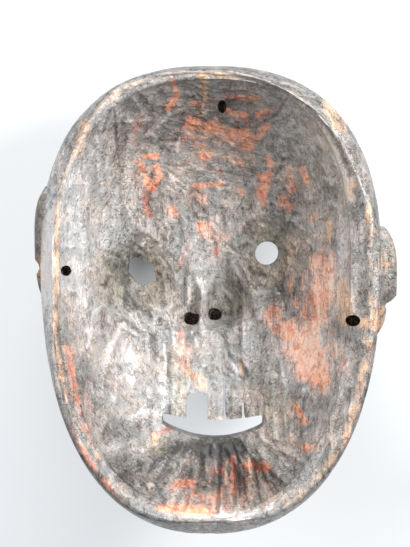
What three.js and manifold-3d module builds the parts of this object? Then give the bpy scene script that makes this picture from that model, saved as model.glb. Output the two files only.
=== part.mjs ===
// A carved wooden mask, lying on its brows and nose with the hollow up. Millimetres, +Z up, +Y to
// the crown. The carving is worked out in the mask's own frame: the rim in z = 0 and the face towards
// -z, so a depth is a distance below the rim. Left and right are as seen looking into the hollow.
import * as THREE from "three";
import { mergeVertices } from "three/addons/utils/BufferGeometryUtils.js";
import Module from "manifold-3d";

const wasm = await Module();
wasm.setup();

// The outline: two half superellipses that meet at the widest place, and the carver's unevenness
const HALF_WIDTH = 100;
const WIDEST_Y = 25;
const CROWN = { reach: 115.7, power: 2.35 };
const CHIN = { reach: 165.8, power: 2.25 };
const UNEVEN = [
  { waves: 1, size: 0.0098, turn: 2.502 },
  { waves: 2, size: 0.0127, turn: 0.018 },
  { waves: 4, size: 0.0052, turn: 2.964 },
];

// The rim. It starts inside at a share of the way out, further in at the two sides, where a bevel leads
// down into the hollow. Its crest is a part of the way across, and it waves a little up and down, so it
// bears on a wall in three places, worn flat: at the crown and on both sides of the jaw.
const RIM = { inner: 0.92, sides: 0.105, left: 0.065, bevel: 3.5, round: 2.5, crest: 0.68, wave: 1.4 };
const RIM_WORN = 0.3;
const RIM_STEPS = [0.25, 0.5, 0.68, 0.86];

// How far the rim's outer edge stands back from the outline, every 30 degrees from +x
const SET_BACK = [1.5, 7.5, 8, 3.5, 1.5, 8.5, 7, 1.5, 2.5, 7.5, 3, 1.5];

// The hollow and the outside as superelliptic domes. The outside is widest a little below the rim.
const HOLLOW = { depth: 60, across: 2.6, down: 1.1 };
const OUTSIDE = { depth: 74, across: 2.4, down: 1.6, widestDepth: 16 };
const LEAST_WALL = 7;

// Places on the face. The eye holes are given by radius, how uneven they are and which way.
const EYES = [
  { x: -42.8, y: 16.6, side: -1, browLift: 24, browRise: 12, radius: 7.9, uneven: 0.8, turn: -0.56 },
  { x: 34.4, y: 27.8, side: 1, browLift: 20, browRise: 9.4, radius: 7.3, uneven: 0.3, turn: 0.8 },
];
const NOSE = { x: -3, rootY: 46, tipY: -10, baseY: -25, wing: 18 };
const NOSTRILS = [
  { from: [-11.7, -9.4, -60], to: [-16, -31, -100], radius: 4.7 },
  { from: [-0.6, -2.6, -60], to: [7, -28, -100], radius: 4.1 },
];
const THIRD_EYE = { x: -1, y: 86, halfWidth: 9.5, halfHeight: 19 };

// The mouth slot between its two curved edges, the gap of the missing tooth and two cracks beside it
const MOUTH = { x: 2, left: -29.5, right: 30.5 };
const TIPS = { y: -75.4, curve: 0.0055 };
const LIP = { y: -85.8, curve: 0.0075 };
const GAPS = [
  { left: -15.9, right: -2.4, top: -58.1 },
  { left: 7.3, right: 8.3, top: -53.8 },
  { left: 18.7, right: 20, top: -64.9 },
];

// Holes for the cords that tied it on: an oval pit sunk inside the rim, and a way out to the flank
const TIE_HOLES = [
  { pit: [6.2, 115.8, -31], reach: [2.6, 3.6], from: [6.2, 115, -28], to: [6.2, 139, -43.5], radius: 2.5 },
  { pit: [-87.6, 16.7, -25], reach: [2.9, 3.1], from: [-87, 16.7, -21], to: [-108, 17, -15.5], radius: 2.4 },
  { pit: [83.8, -13, -20], reach: [4.1, 3.4], from: [83, -13, -16], to: [108, -13.5, -18.2], radius: 2.6 },
];

// Each ear lies flat on the flank, its front edge sunk in and its back edge standing out
const EARS = [
  { side: -1, y: 32.4, halfHeight: 36.7, out: 104.5, lobe: 0.5 },
  { side: 1, y: 10, halfHeight: 34, out: 109, lobe: 5.5 },
];
const EAR = { depth: 31, halfWidth: 16.5, lean: 0.6, slant: 4, sunk: 84, swell: 2.5 };
const NOTCH = { up: -0.36, halfHeight: 0.14, depth: 2.5 };

// The pose at rest: tilted down at the crown, with small flats worn on both brows and the nose
const TILT = THREE.MathUtils.degToRad(10);
const REST = { x: -2.25, y: 3.48, lift: 91 };

const { abs, sign, floor, sin, cos, hypot, atan2, acos, sqrt, log2, min, max, PI } = Math;
const power = (value, exponent) => sign(value) * abs(value) ** exponent;

// 0 at one place and 1 at the other, with an easy start and end
function smooth(from, to, value) {
  const t = min(1, max(0, (value - from) / (to - from)));
  return t * t * (3 - 2 * t);
}

// A soft swelling and one with a level top: 1 in the middle and 0 from u = 1 outwards
const mound = (u) => (abs(u) < 1 ? (1 - u * u) ** 2 : 0);
const plateau = (u, flat) => 1 - smooth(flat, 1, abs(u));
const oval = (x, y, atX, atY, halfWidth, halfHeight) => hypot((x - atX) / halfWidth, (y - atY) / halfHeight);

// The outline's point in a direction, measured from the middle of the widest line
function outline(angle) {
  const half = sin(angle) >= 0 ? CROWN : CHIN;
  const waves = UNEVEN.map(({ waves, size, turn }) => size * cos(waves * angle + turn));
  const uneven = waves.reduce((sum, wave) => sum + wave, 1.015);
  return [
    HALF_WIDTH * power(cos(angle), 2 / half.power) * uneven,
    half.reach * power(sin(angle), 2 / half.power) * uneven,
  ];
}

function setBack(angle) {
  const at = ((angle / (2 * PI) + 1) % 1) * SET_BACK.length;
  const k = floor(at) % SET_BACK.length;
  return SET_BACK[k] + (SET_BACK[(k + 1) % SET_BACK.length] - SET_BACK[k]) * smooth(0, 1, at - floor(at));
}

// How far out a point lies, as a share of the way to the outline
function shareAt(x, y) {
  const half = y >= WIDEST_Y ? CROWN : CHIN;
  const across = abs(x / HALF_WIDTH) ** half.power;
  return (across + abs((y - WIDEST_Y) / half.reach) ** half.power) ** (1 / half.power);
}

// What is gouged out of the bare hollow: the eye pits, the channel behind the nose with a ridge
// between the nostrils, the flat behind the teeth, the cheeks and the chin
function gouged(x, y) {
  const pits = 8 * mound(oval(x, y, -47, 12, 27, 28)) + 7 * mound(oval(x, y, 34, 27, 25, 27));
  const down = smooth(48, -10, y);
  const ridge = 9 * mound((x + 6) / 5.5) * smooth(14, 0, y);
  const channel = 15 * down * sqrt(mound((x - 0.5) / (11 + 15 * down)));
  const nose = max(0, channel - ridge) * smooth(-20, -12, y - 0.1 * x);
  const cheeks = mound(oval(x, y, -56, -36, 34, 36)) + mound(oval(x, y, 58, -30, 32, 38));
  const mouth = mound(oval(x, y, 2, -66, 44, 34)) + mound(oval(x, y, 2, -108, 36, 22));
  return pits + nose + 4 * cheeks + 5 * mouth;
}

function hollowDepth(x, y) {
  const out = min(1, shareAt(x, y) / RIM.inner);
  const dome = (1 - out ** HOLLOW.across) ** (1 / HOLLOW.down);
  return RIM.round + (HOLLOW.depth - RIM.round) * dome + gouged(x, y);
}

// An eye: a thick arched brow turned up at its end, a socket, a ball between two lids, and a bag
function eyeRelief(x, y, eye) {
  const [outward, up] = [(x - eye.x) * eye.side, y - eye.y];
  const t = min(1, max(0, (outward + 30) / 70));
  const browY = eye.browLift + 9 * sin(PI * t) - 7 * t;
  const past = max(0, -30 - outward, outward - 40);
  const brow = plateau(hypot(past, up - browY) / (7.5 + 3.5 * sin(PI * t)), 0.25);
  const ball = 9 * mound(0.9 * oval(outward, up, 0, 0, 21, 16)) - 6 * mound(oval(outward, up, 0, 2, 32, 24));
  const lids = 2.6 * mound((oval(outward, up, 0, 0, 23, 13.5) - 1) * 4.5);
  const bag = 3 * mound((oval(outward, up, 0, -2, 30, 21) - 1) * 3.2) * smooth(4, -8, up);
  return brow * (5 + eye.browRise * smooth(0.1, 0.5, t)) + ball + lids + bag;
}

// The nose: a ridge that widens to a round tip, a wing over each nostril, and a frown at the root
function noseRelief(x, y) {
  const down = smooth(NOSE.rootY, NOSE.tipY, y);
  const middle = NOSE.x + 0.04 * (y - NOSE.tipY);
  const across = mound((x - middle) / (17 + 9 * down)) ** 0.8;
  const ridge = (6 + 10 * down) * across * smooth(NOSE.baseY, -15, y) * smooth(66, 40, y);
  const tip = 6 * mound(oval(x, y, NOSE.x - 1, NOSE.tipY - 1, 16, 13));
  const [left, right] = [NOSE.x - NOSE.wing, NOSE.x + NOSE.wing];
  const wings = mound(oval(x, y, left, -12, 13, 12)) + mound(oval(x, y, right, -10, 13, 12));
  const frown = mound(oval(x, y, -11, 52, 4, 14)) + mound(oval(x, y, 4, 55, 4, 14));
  return ridge + tip + 9.5 * wings + 2.5 * frown;
}

// The mouth: a muzzle with a fold round it, full lips, and the bared teeth that stand back in them
function mouthRelief(x, y) {
  const across = x - MOUTH.x;
  const lips = hypot(across / 36, (y + 70 - 0.0045 * across ** 2) / 19);
  const around = mound((oval(x, y, MOUTH.x, -66, 52, 46) - 1) * 7);
  const fold = 3.2 * around * smooth(-88, -60, y) * smooth(-14, -24, y);
  const teeth = 4 * (1 - smooth(0.8, 0.95, lips)) * smooth(-76, -74, y - TIPS.curve * across ** 2);
  const opened = 5 * mound((lips - 1.08) * 3.2) - 7 * (1 - smooth(0.78, 0.98, lips)) + teeth;
  return 9 * mound(oval(x, y, MOUTH.x, -70, 50, 44)) + opened - fold;
}

// The upright third eye in the forehead, pointed at both ends, between its two lids
function thirdEyeRelief(x, y) {
  const up = (y - THIRD_EYE.y) / THIRD_EYE.halfHeight;
  const narrow = 1 - 0.55 * min(1, up * up);
  const off = hypot((x - THIRD_EYE.x) / (THIRD_EYE.halfWidth * narrow), up);
  return 4 * mound(off * 0.75) + 2.2 * mound((off - 1) * 3.6);
}

// The whole face, with its cheeks, its chin under a crease, and hollow temples
function faceRelief(x, y) {
  const eyes = EYES.reduce((sum, eye) => sum + eyeRelief(x, y, eye), 0);
  const cheeks = mound(oval(x, y, -58, -24, 32, 28)) + mound(oval(x, y, 52, -16, 32, 28));
  const chin = 9 * mound(oval(x, y, 2, -116, 30, 20)) - 2.5 * mound(oval(x, y, 2, -97, 34, 8));
  const temples = mound(oval(x, y, -80, 48, 20, 32)) + mound(oval(x, y, 78, 52, 20, 32));
  const features = eyes + noseRelief(x, y) + mouthRelief(x, y) + thirdEyeRelief(x, y);
  return features + 9 * cheeks + chin - 3 * temples;
}

// A square patch laid over a disc, with no pole. p and q run from -1 to 1.
function disc(p, q) {
  const x = p * sqrt(1 - (q * q) / 2);
  const y = q * sqrt(1 - (p * p) / 2);
  return { reach: min(1, hypot(x, y)), angle: atan2(y, x) };
}

const rimWave = (angle, reach) => -RIM.wave * sin(3 * angle) * reach ** 8;

function hollowPoint(p, q) {
  const { reach, angle } = disc(p, q);
  const [edgeX, edgeY] = outline(angle);
  const turn = (reach * PI) / 2;
  const inner = RIM.inner - RIM.sides * cos(angle) ** 2 + RIM.left * max(0, -cos(angle)) ** 2;
  const share = inner * sin(turn) ** (2 / HOLLOW.across);
  const [x, y] = [edgeX * share, WIDEST_Y + edgeY * share];
  const edge = RIM.round + RIM.bevel * cos(angle) ** 2;
  const dome = (HOLLOW.depth - edge) * max(0, cos(turn)) ** (2 / HOLLOW.down);
  return [x, y, rimWave(angle, reach) - edge - dome - gouged(x, y)];
}

// The outside dome runs past its widest place, up to the rim's outer edge, which stands back from it
const UNDERCUT = (OUTSIDE.widestDepth - RIM.round) / (OUTSIDE.depth - OUTSIDE.widestDepth);
const LAST_TURN = acos(-(UNDERCUT ** (OUTSIDE.down / 2)));
const LAST_SHARE = sin(LAST_TURN) ** (2 / OUTSIDE.across);

function outsidePoint(p, q) {
  const { reach, angle } = disc(p, q);
  const [edgeX, edgeY] = outline(angle);
  const turn = reach * LAST_TURN;
  const bare = sin(turn) ** (2 / OUTSIDE.across);
  const under = ((1 - bare) / (1 - LAST_SHARE)) * (setBack(angle) / hypot(edgeX, edgeY));
  const share = turn < PI / 2 ? bare : 1 - under;
  const [x, y] = [edgeX * share, WIDEST_Y + edgeY * share];
  const dome = (OUTSIDE.depth - OUTSIDE.widestDepth) * power(cos(turn), 2 / OUTSIDE.down);
  const onFace = smooth(1.45, 1.2, turn);
  const depth = OUTSIDE.widestDepth + dome + faceRelief(x, y) * onFace;
  return [x, y, rimWave(angle, reach) - max(depth, (hollowDepth(x, y) + LEAST_WALL) * onFace)];
}

// Across the rim, from the hollow's edge up to the rounded crest and down to the outside's edge
function rimSection(inside, outside) {
  return RIM_STEPS.map((t) => {
    const [x, y] = [0, 1].map((axis) => inside[axis] + (outside[axis] - inside[axis]) * t);
    const crest = outside[2] + RIM.round;
    const fall = t < RIM.crest ? crest - inside[2] : RIM.round;
    const across = t < RIM.crest ? t / RIM.crest : (1 - t) / (1 - RIM.crest);
    return [x, y, crest - fall * (1 - sin((PI / 2) * across))];
  });
}

// The two skins of an ear: the outer one with its raised edge, its shell and the notch over its lobe,
// and the one in the wood
function earPlace(ear, p, q) {
  const { reach, angle } = disc(p, q);
  const up = power(sin(angle), 0.42) * reach;
  const halfWidth = EAR.halfWidth * (1 - 0.42 * max(0, -up));
  const along = halfWidth * power(cos(angle), 0.5) * reach;
  const [y, z] = [ear.y + up * ear.halfHeight, along + EAR.slant * up - EAR.depth];
  return { reach, halfWidth, along, up, y, z };
}

function earOutside(ear, p, q) {
  const { reach, halfWidth, along, up, y, z } = earPlace(ear, p, q);
  const stand = ear.out - EAR.lean * (halfWidth - along) + EAR.swell * (1 - up * up);
  const edge = 2 * mound((reach - 0.8) / 0.22) - 2 * reach ** 8;
  const shell = 6 * mound(oval(along, up, 1, 0.1, 10, 0.62));
  const lobe = ear.lobe * smooth(-0.3, -0.44, up) + NOTCH.depth * mound((up - NOTCH.up) / NOTCH.halfHeight);
  return [ear.side * (stand + edge - shell - lobe), y, z];
}

function earInside(ear, p, q) {
  const { along, y, z } = earPlace(ear, p, q);
  return [ear.side * (EAR.sunk + 0.6 * along), y, z];
}

// A network of right triangles over the square, small only where a skin bends: a triangle is halved
// at the middle of its long side while the skins there lie further off it than is allowed. The
// square's points are numbered row by row, so the number halfway between two is the point halfway.
function network(cells, closeness, offAt) {
  const row = cells + 1;
  const deepest = 2 * log2(cells);
  const middle = ([a, b]) => (a + b) / 2;
  const halves = ([a, b, c]) => [
    [c, a, middle([a, b])],
    [b, c, middle([a, b])],
  ];
  const [sw, se, nw, ne] = [0, cells, cells * row, row * row - 1];
  const whole = [
    [sw, ne, nw],
    [ne, sw, se],
  ];
  const levels = [whole];
  while (levels.length < deepest) levels.unshift(levels[0].flatMap(halves));
  const off = new Float64Array(row * row);
  levels.forEach((level, k) => {
    for (const triangle of level) {
      const at = middle(triangle);
      const below = k === 0 ? [] : halves(triangle).map((half) => off[middle(half)]);
      off[at] = max(off[at], offAt(triangle[0], triangle[1], at), ...below);
    }
  });
  const split = (triangle, depth) => {
    if (depth === deepest || off[middle(triangle)] <= closeness) return [triangle];
    return halves(triangle).flatMap((half) => split(half, depth + 1));
  };
  return whole.flatMap((triangle) => split(triangle, 0));
}

// A closed solid between two skins over one square patch, joined round the edge by short sections
function slab(upper, under, { cells, closeness, edgeStep, section }) {
  const points = Array.from({ length: (cells + 1) ** 2 }, (_, k) => {
    const i = k % (cells + 1);
    const j = (k - i) / (cells + 1);
    const [p, q] = [(2 * i) / cells - 1, (2 * j) / cells - 1];
    const onEdge = i % cells === 0 || j % cells === 0;
    const kept = onEdge && (i + j) % edgeStep === 0;
    return { angle: atan2(q, p), onEdge, kept, skins: [upper(p, q), under(p, q)] };
  });
  const apart = (a, b, m) => hypot(...m.map((value, axis) => value - (a[axis] + b[axis]) / 2));
  const triangles = network(cells, closeness, (a, b, m) => {
    if (points[m].kept) return Infinity;
    return max(...[0, 1].map((s) => apart(points[a].skins[s], points[b].skins[s], points[m].skins[s])));
  });
  const faces = triangles.flatMap((triangle) => [
    triangle.map((k) => points[k].skins[0]),
    triangle.map((k) => points[k].skins[1]).reverse(),
  ]);
  const used = [...new Set(triangles.flat())];
  const edge = used.map((k) => points[k]).filter((point) => point.onEdge);
  edge.sort((a, b) => a.angle - b.angle);
  const rows = edge.map(({ skins: [top, bottom] }) => [top, ...section(top, bottom), bottom]);
  rows.forEach((row, k) => {
    const next = rows[(k + 1) % rows.length];
    for (let r = 0; r + 1 < row.length; r++) {
      faces.push([row[r], row[r + 1], next[r + 1]], [row[r], next[r + 1], next[r]]);
    }
  });
  const places = new THREE.Float32BufferAttribute(faces.flat(2), 3);
  return solid(new THREE.BufferGeometry().setAttribute("position", places));
}

function solid(geometry) {
  geometry.deleteAttribute("normal");
  geometry.deleteAttribute("uv");
  const merged = mergeVertices(geometry, 1e-4);
  const mesh = { numProp: 3, vertProperties: merged.getAttribute("position").array };
  return new wasm.Manifold(new wasm.Mesh({ ...mesh, triVerts: new Uint32Array(merged.index.array) }));
}

// A bore of any section between two places
function bore(shape, from, to) {
  const start = new THREE.Vector3(...from);
  const along = new THREE.Vector3(...to).sub(start);
  const geometry = new THREE.ExtrudeGeometry(shape, { depth: along.length(), bevelEnabled: false });
  const turn = new THREE.Quaternion().setFromUnitVectors(new THREE.Vector3(0, 0, 1), along.normalize());
  return solid(geometry.applyQuaternion(turn).translate(...start));
}

// A closed outline round a centre, its radius given by the angle
function roundShape(sides, radiusAt, x = 0, y = 0) {
  const points = Array.from({ length: sides }, (_, k) => {
    const angle = (2 * PI * k) / sides;
    return new THREE.Vector2(x + radiusAt(angle) * cos(angle), y + radiusAt(angle) * sin(angle));
  });
  return new THREE.Shape(points);
}

// The slot, from its upper edge at the tips of the teeth and back along the lower lip
function slotShape() {
  const steps = 10;
  const edge = ({ y, curve }) =>
    Array.from({ length: steps + 1 }, (_, k) => {
      const x = MOUTH.left + ((MOUTH.right - MOUTH.left) * k) / steps;
      return new THREE.Vector2(x, y + curve * (x - MOUTH.x) ** 2);
    });
  return new THREE.Shape([...edge(LIP), ...edge(TIPS).reverse()]);
}

function gapShape({ left, right, top }) {
  const low = TIPS.y - 1;
  const corners = [
    [left, low],
    [right, low],
    [right, top - 1],
    [left + (right - left) * 0.4, top + 1],
    [left, top - 2],
  ];
  return new THREE.Shape(corners.map(([x, y]) => new THREE.Vector2(x, y)));
}

const through = (shape) => bore(shape, [0, 0, -OUTSIDE.depth * 1.5], [0, 0, 5]);

function openings() {
  const eyes = EYES.map(({ x, y, radius, uneven, turn }) => {
    const radiusAt = (angle) => radius + uneven * cos(2 * (angle - turn));
    return through(roundShape(20, radiusAt, x, y));
  });
  const drilled = [...NOSTRILS, ...TIE_HOLES];
  const round = drilled.map(({ from, to, radius }) => bore(roundShape(10, () => radius), from, to));
  const pits = TIE_HOLES.map(({ pit: [x, y, bottom], reach: [halfWidth, halfHeight] }) => {
    const radiusAt = (angle) => 1 / hypot(cos(angle) / halfWidth, sin(angle) / halfHeight);
    return bore(roundShape(12, radiusAt, x, y), [0, 0, bottom], [0, 0, 5]);
  });
  const slits = GAPS.map((gap) => through(gapShape(gap)));
  return [...eyes, ...round, ...pits, through(slotShape()), ...slits];
}

const fineness = { cells: 128, closeness: 1.05, edgeStep: 4 };
const shell = slab(hollowPoint, outsidePoint, { ...fineness, section: rimSection });
const ears = EARS.map((ear) => {
  const outer = (p, q) => earOutside(ear, -ear.side * p, q);
  const inner = (p, q) => earInside(ear, -ear.side * p, q);
  return slab(outer, inner, { cells: 16, closeness: 0.6, edgeStep: 2, section: () => [] });
});
const table = solid(new THREE.BoxGeometry(400, 400, 60).translate(0, 0, -REST.lift - 30).rotateX(TILT));
const wall = solid(new THREE.BoxGeometry(400, 400, 60).translate(0, 0, RIM.wave - RIM_WORN + 30));

let carving = ears.reduce((sum, ear) => sum.add(ear), shell);
for (const opening of openings()) carving = carving.subtract(opening);
const finished = carving.subtract(table).subtract(wall).getMesh();
const geometry = new THREE.BufferGeometry();
geometry.setAttribute("position", new THREE.BufferAttribute(finished.vertProperties, 3));
geometry.setIndex(new THREE.BufferAttribute(finished.triVerts, 1));
geometry.computeVertexNormals();

const wood = new THREE.MeshStandardMaterial({ color: 0x3f3733, roughness: 0.55, metalness: 0 });
const mask = new THREE.Mesh(geometry, wood);
mask.name = "mask";
mask.rotation.x = -TILT;
mask.position.set(REST.x, REST.y, REST.lift);

export default new THREE.Group().add(mask);
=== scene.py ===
# A carved wooden mask lies on its nose and brows on a pale floor, seen straight into its hollow back.
# The shape repeats the model's own sizes, in millimetres in the mask's frame: the rim in z = 0, the
# face towards -z and the crown towards +y. Left and right are as seen looking into the hollow.
import math

import bmesh
import bpy
import numpy as np
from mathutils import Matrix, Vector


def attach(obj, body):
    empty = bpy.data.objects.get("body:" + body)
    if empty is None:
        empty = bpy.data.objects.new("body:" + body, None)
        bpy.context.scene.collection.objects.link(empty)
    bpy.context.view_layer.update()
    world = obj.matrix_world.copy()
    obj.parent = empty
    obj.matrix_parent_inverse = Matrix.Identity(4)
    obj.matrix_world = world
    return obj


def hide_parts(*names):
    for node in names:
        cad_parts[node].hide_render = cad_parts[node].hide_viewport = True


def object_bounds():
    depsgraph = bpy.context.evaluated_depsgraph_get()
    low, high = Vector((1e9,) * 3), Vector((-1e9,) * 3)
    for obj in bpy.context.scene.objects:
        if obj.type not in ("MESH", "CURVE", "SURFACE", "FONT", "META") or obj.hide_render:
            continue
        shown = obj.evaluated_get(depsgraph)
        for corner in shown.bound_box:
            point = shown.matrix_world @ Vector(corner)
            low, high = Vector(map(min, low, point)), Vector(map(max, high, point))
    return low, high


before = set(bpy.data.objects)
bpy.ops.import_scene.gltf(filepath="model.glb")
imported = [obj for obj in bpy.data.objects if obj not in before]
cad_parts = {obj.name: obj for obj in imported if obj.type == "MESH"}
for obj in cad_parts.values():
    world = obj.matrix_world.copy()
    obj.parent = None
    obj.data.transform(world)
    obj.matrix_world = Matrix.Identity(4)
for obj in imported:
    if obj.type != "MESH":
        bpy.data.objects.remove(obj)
cad_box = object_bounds()

# The camera is square to the rim's plane and a little over a metre above it, with a long lens, so the
# outline keeps its shape. The mask's frame is turned and lifted here as the mask lies on the floor.
MM = 0.001
TILT = math.radians(10)
REST = np.array([-2.25, 3.48, 91])
CAMERA_PLACE = [-4.2, 15, 1184]
LENS = 131.6


def lie_down(points):
    """Places in the mask's frame, in millimetres, to places in the scene, in metres."""
    x, y, z = np.moveaxis(np.asarray(points, float), -1, 0)
    turned = [x, y * math.cos(TILT) + z * math.sin(TILT), z * math.cos(TILT) - y * math.sin(TILT)]
    return (np.stack(turned, -1) + REST) * MM


camera_data = bpy.data.cameras.new("camera")
camera_data.lens = LENS
camera_data.clip_end = 20
camera = bpy.data.objects.new("camera", camera_data)
camera.location = lie_down(CAMERA_PLACE)
camera.rotation_euler = (-TILT, 0, 0)
bpy.context.collection.objects.link(camera)
bpy.context.scene.camera = camera
bpy.context.scene.view_settings.view_transform = "Standard"

# The mask's block is one piece of wood, hollowed with a gouge. A square block of two grids becomes the
# hollow and the face, and the rows round its side become the rim.
HALF_WIDTH = 100
WIDEST_Y = 25
CROWN = {"reach": 115.7, "power": 2.35}
CHIN = {"reach": 165.8, "power": 2.25}
UNEVEN = [(1, 0.0098, 2.502), (2, 0.0127, 0.018), (4, 0.0052, 2.964)]
RIM_INNER, RIM_SIDES, RIM_LEFT = 0.92, 0.105, 0.065
RIM_BEVEL, RIM_ROUND, RIM_CREST, RIM_WAVE, RIM_WORN = 3.5, 2.5, 0.68, 1.4, 0.3
RIM_SET_BACK = [1.5, 7.5, 8, 3.5, 1.5, 8.5, 7, 1.5, 2.5, 7.5, 3, 1.5]
RIM_STEPS = [0, 0.12, 0.25, 0.38, 0.5, 0.6, 0.68, 0.77, 0.86, 0.94, 1]
HOLLOW = {"depth": 60, "across": 2.6, "down": 1.1}
OUTSIDE = {"depth": 74, "across": 2.4, "down": 1.6, "widest_depth": 16}
LEAST_WALL = 7
HOLLOW_CELLS, FACE_CELLS = (204, 280), (124, 172)
CELLS_TO_RIM = 1.3


# Soft hollows, with a place, half sizes and depth: two eye pits, two cheeks, the lips and the chin. The
# channel of the nose widens downwards, and a ridge stands in it between the nostrils.
HOLLOWS = [
    (-47, 12, 27, 28, 8), (34, 27, 25, 27, 7), (-56, -36, 34, 36, 4), (58, -30, 32, 38, 4),
    (2, -66, 44, 34, 5), (2, -108, 36, 22, 5),
]
CHANNEL = {"x": 0.5, "top": 48, "full": -10, "depth": 15, "narrow": 11, "widens": 15}
NOSTRIL_RIDGE = {"x": -6, "half_width": 5.5, "height": 9, "top": 14}


def smooth(start, end, value):
    t = np.clip((value - start) / (end - start), 0, 1)
    return t * t * (3 - 2 * t)


def mound(u):
    return np.where(np.abs(u) < 1, (1 - u * u) ** 2, 0)


def plateau(u, flat):
    return 1 - smooth(flat, 1, np.abs(u))


def oval(x, y, at_x, at_y, half_width, half_height):
    return np.hypot((x - at_x) / half_width, (y - at_y) / half_height)


def mounds(x, y, forms):
    """The sum of soft mounds, each with its place, half sizes and height."""
    return sum(height * mound(oval(x, y, *place)) for *place, height in forms)


def power(value, exponent):
    return np.sign(value) * np.abs(value) ** exponent


def outline(angle):
    """The outline's point in a direction, from the middle of the widest line."""
    top = np.sin(angle) >= 0
    exponent = 2 / np.where(top, CROWN["power"], CHIN["power"])
    reach = np.where(top, CROWN["reach"], CHIN["reach"])
    uneven = 1.015 + sum(size * np.cos(waves * angle + turn) for waves, size, turn in UNEVEN)
    return (
        HALF_WIDTH * power(np.cos(angle), exponent) * uneven,
        reach * power(np.sin(angle), exponent) * uneven,
    )


def around(angle, values):
    """A value from a list that goes round from +x, with an easy change between its entries."""
    at = angle / (2 * math.pi) % 1 * len(values)
    k = np.floor(at).astype(int) % len(values)
    start, end = np.array(values)[k], np.roll(values, -1)[k]
    return start + (end - start) * smooth(0, 1, at % 1)


def share_at(x, y):
    """How far out a place lies, as a share of the way to the outline."""
    exponent = np.where(y >= WIDEST_Y, CROWN["power"], CHIN["power"])
    reach = np.where(y >= WIDEST_Y, CROWN["reach"], CHIN["reach"])
    across = np.abs(x / HALF_WIDTH) ** exponent
    return (across + np.abs((y - WIDEST_Y) / reach) ** exponent) ** (1 / exponent)


def gouged(x, y):
    """What is taken out of the bare hollow. The channel ends at a slant below the nostrils."""
    down = smooth(CHANNEL["top"], CHANNEL["full"], y)
    half_width = CHANNEL["narrow"] + CHANNEL["widens"] * down
    channel = CHANNEL["depth"] * down * np.sqrt(mound((x - CHANNEL["x"]) / half_width))
    across = (x - NOSTRIL_RIDGE["x"]) / NOSTRIL_RIDGE["half_width"]
    ridge = NOSTRIL_RIDGE["height"] * mound(across) * smooth(NOSTRIL_RIDGE["top"], 0, y)
    nose = np.maximum(0, channel - ridge) * smooth(-20, -12, y - 0.1 * x)
    return mounds(x, y, HOLLOWS) + nose


def hollow_depth(x, y):
    out = np.minimum(1, share_at(x, y) / RIM_INNER)
    dome = (1 - out ** HOLLOW["across"]) ** (1 / HOLLOW["down"])
    return RIM_ROUND + (HOLLOW["depth"] - RIM_ROUND) * dome + gouged(x, y)


def disc(p, q):
    """A square patch laid over a disc, with no pole. p and q run from -1 to 1."""
    x = p * np.sqrt(1 - q * q / 2)
    y = q * np.sqrt(1 - p * p / 2)
    return np.minimum(1, np.hypot(x, y)), np.arctan2(y, x)


def rim_wave(angle, reach):
    return -RIM_WAVE * np.sin(3 * angle) * reach**8


def inner_share(angle):
    """Where the hollow ends at the rim, as a share of the way to the outline."""
    return RIM_INNER - RIM_SIDES * np.cos(angle) ** 2 + RIM_LEFT * np.maximum(0, -np.cos(angle)) ** 2


def hollow_place(p, q):
    reach, angle = disc(p, q)
    edge_x, edge_y = outline(angle)
    out = 1 - (1 - reach) ** CELLS_TO_RIM
    inner = inner_share(angle)
    x, y = edge_x * inner * out, WIDEST_Y + edge_y * inner * out
    edge = RIM_ROUND + RIM_BEVEL * np.cos(angle) ** 2
    dome = (HOLLOW["depth"] - edge) * (1 - out ** HOLLOW["across"]) ** (1 / HOLLOW["down"])
    return np.stack([x, y, rim_wave(angle, reach) - edge - dome - gouged(x, y)], -1)


# The carved face, out of sight below: brows, eyes, a broad nose, bared teeth and an upright third eye
EYES = [
    {"x": -42.8, "y": 16.6, "side": -1, "brow_lift": 24, "brow_rise": 12},
    {"x": 34.4, "y": 27.8, "side": 1, "brow_lift": 20, "brow_rise": 9.4},
]
BROW = {"inner": -30, "outer": 40, "arch": 9, "fall": 7, "half_width": 7.5, "widens": 3.5, "height": 5}
NOSE = {"x": -3, "root_y": 46, "tip_y": -10, "base_y": -25}
THIRD_EYE = {"x": -1, "y": 86, "half_width": 9.5, "half_height": 19}
MOUTH = {"x": 2, "left": -30.5, "right": 31.5}
TIPS, LIP = {"y": -75.4, "curve": 0.0055}, {"y": -85.8, "curve": 0.0075}
TOOTH = {"width": 11.6, "edge": 7.8, "groove": 1.6}

# Soft forms of the face, with a place, half sizes and height. Those of the nose are its tip, its two
# wings and two frown lines. The others are cheeks, mouth, chin, the dip over the chin and the temples.
NOSE_FORMS = [
    (-4, -11, 16, 13, 6), (-21, -12, 13, 12, 9.5), (15, -10, 13, 12, 9.5),
    (-11, 52, 4, 14, 2.5), (4, 55, 4, 14, 2.5),
]
FACE_FORMS = [
    (-58, -24, 32, 28, 9), (52, -16, 32, 28, 9), (2, -70, 50, 44, 9), (2, -116, 30, 20, 9),
    (2, -97, 34, 8, -2.5), (-80, 48, 20, 32, -3), (78, 52, 20, 32, -3),
]


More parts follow.
